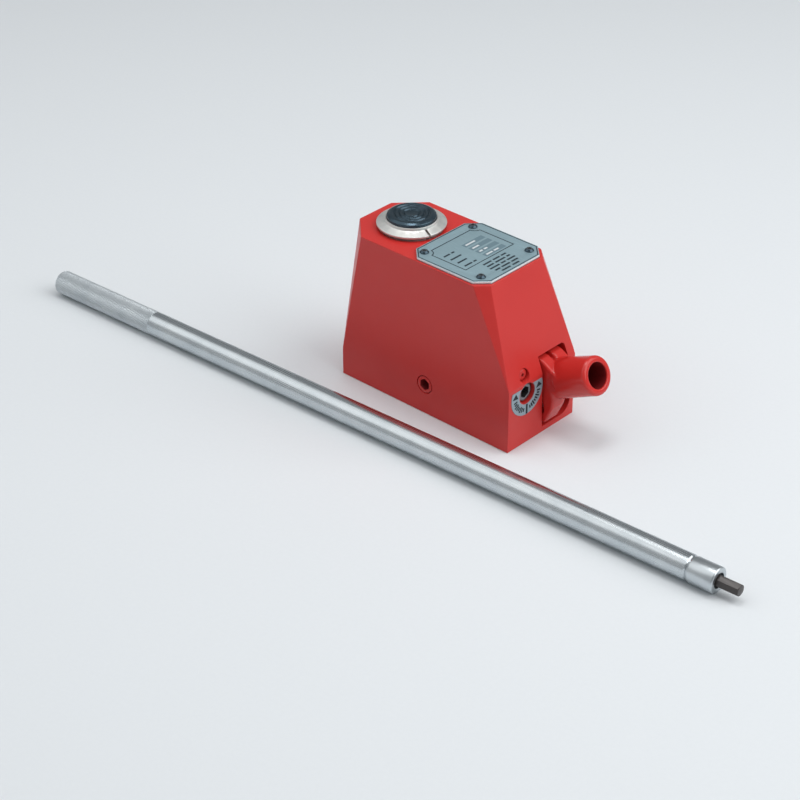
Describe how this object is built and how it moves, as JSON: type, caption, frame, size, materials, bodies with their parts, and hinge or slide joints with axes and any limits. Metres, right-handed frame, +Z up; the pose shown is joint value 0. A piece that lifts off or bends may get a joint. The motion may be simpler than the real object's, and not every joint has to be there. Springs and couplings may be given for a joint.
{
  "type": "hydraulic jack",
  "caption": "Compact hydraulic jack: wedge-fronted block with a lifting ram and saddle, pump lever with handle socket, release valve, and a loose pump handle with a hex key tip.",
  "frame": {"origin": "on the block's underside, on its middle line, 80.75 mm behind the front face", "axes": "+X towards the pump lever along the block's length, +Y to the lever's side, +Z up along the ram"},
  "size_m": [0.6358, 0.1454, 0.1343],
  "materials": {
    "red_paint": "semi-gloss paint",
    "etched_plate": "satin, etched",
    "label_foil": "matt foil",
    "machined_steel": "turned and ground",
    "black_steel": "black oxide",
    "plated_steel": "bright zinc plate",
    "bronze": "turned",
    "copper": "annealed",
    "seal_rubber": "matt",
    "gasket_fibre": "matt fibre",
    "guide_resin": "matt"
  },
  "bodies": {
    "jack_body": {"body_block": "red_paint", "cylinder_liner": "machined_steel", "liner_seal": "copper", "gland_nut": "machined_steel", "guide_bush": "bronze", "rod_wiper": "seal_rubber", "top_plate": "etched_plate", "plate_gasket": "gasket_fibre", "plate_screws": "black_steel", "pivot_pin": "machined_steel", "pump_barrel": "machined_steel", "plunger_seal": "seal_rubber", "plunger_bush": "bronze", "valve_plug": "red_paint", "plug_washer": "copper", "inlet_seat": "machined_steel", "inlet_spring": "machined_steel", "delivery_spring": "machined_steel", "delivery_cap": "machined_steel", "filler_screw": "red_paint", "valve_label": "label_foil"},
    "ram": {"ram": "machined_steel", "piston_seal": "seal_rubber", "piston_guide": "guide_resin", "saddle": "black_steel"},
    "lever": {"pump_lever": "red_paint"},
    "plunger": {"pump_plunger": "machined_steel", "link_pin": "machined_steel"},
    "release_ball": {"release_ball": "machined_steel"},
    "release_valve": {"release_valve": "machined_steel", "release_seal": "seal_rubber"},
    "inlet_ball": {"inlet_ball": "machined_steel"},
    "delivery_ball": {"delivery_ball": "machined_steel"},
    "handle": {"handle_tube": "plated_steel", "handle_plug": "plated_steel", "hex_key": "black_steel"}
  },
  "joints": [
    {"name": "ram_slide", "type": "slide", "parent": "jack_body", "child": "ram", "axis": [0, 0, 1], "range_m": [0, 0.075]},
    {"name": "lever_pivot", "type": "hinge", "parent": "jack_body", "child": "lever", "pos_m": [0.073, 0.016, 0.0495], "axis": [0, 1, 0], "range_deg": [-20, 26]},
    {"name": "plunger_slide", "type": "slide", "parent": "jack_body", "child": "plunger", "axis": [-1, 0, 0], "range_m": [-0.0104, 0.0135]},
    {"name": "release_lift", "type": "slide", "parent": "jack_body", "child": "release_ball", "axis": [1, 0, 0], "range_m": [0, 0.0015]},
    {"name": "release_turn", "type": "hinge", "parent": "release_ball", "child": "release_valve", "pos_m": [0.07, -0.017, 0.0418], "axis": [1, 0, 0], "range_deg": [0, 360]},
    {"name": "inlet_lift", "type": "slide", "parent": "jack_body", "child": "inlet_ball", "axis": [0, 0, -1], "range_m": [0, 0.0012], "stiffness_N_per_m": 300, "springref_m": -0.002, "deforming": ["inlet_spring"]},
    {"name": "delivery_lift", "type": "slide", "parent": "jack_body", "child": "delivery_ball", "axis": [0, 0, 1], "range_m": [0, 0.0012], "stiffness_N_per_m": 300, "springref_m": -0.002, "deforming": ["delivery_spring"]},
    {"name": "handle_lift", "type": "slide", "parent": "jack_body", "child": "handle", "axis": [0, 0, 1], "range_m": [0, 0.15]}
  ],
  "couplings": [
    {"joint": "plunger_slide", "follows": "lever_pivot", "m_per_rad": 0.0294},
    {"joint": "release_turn", "follows": "release_lift", "rad_per_m": 4188.8}
  ]
}
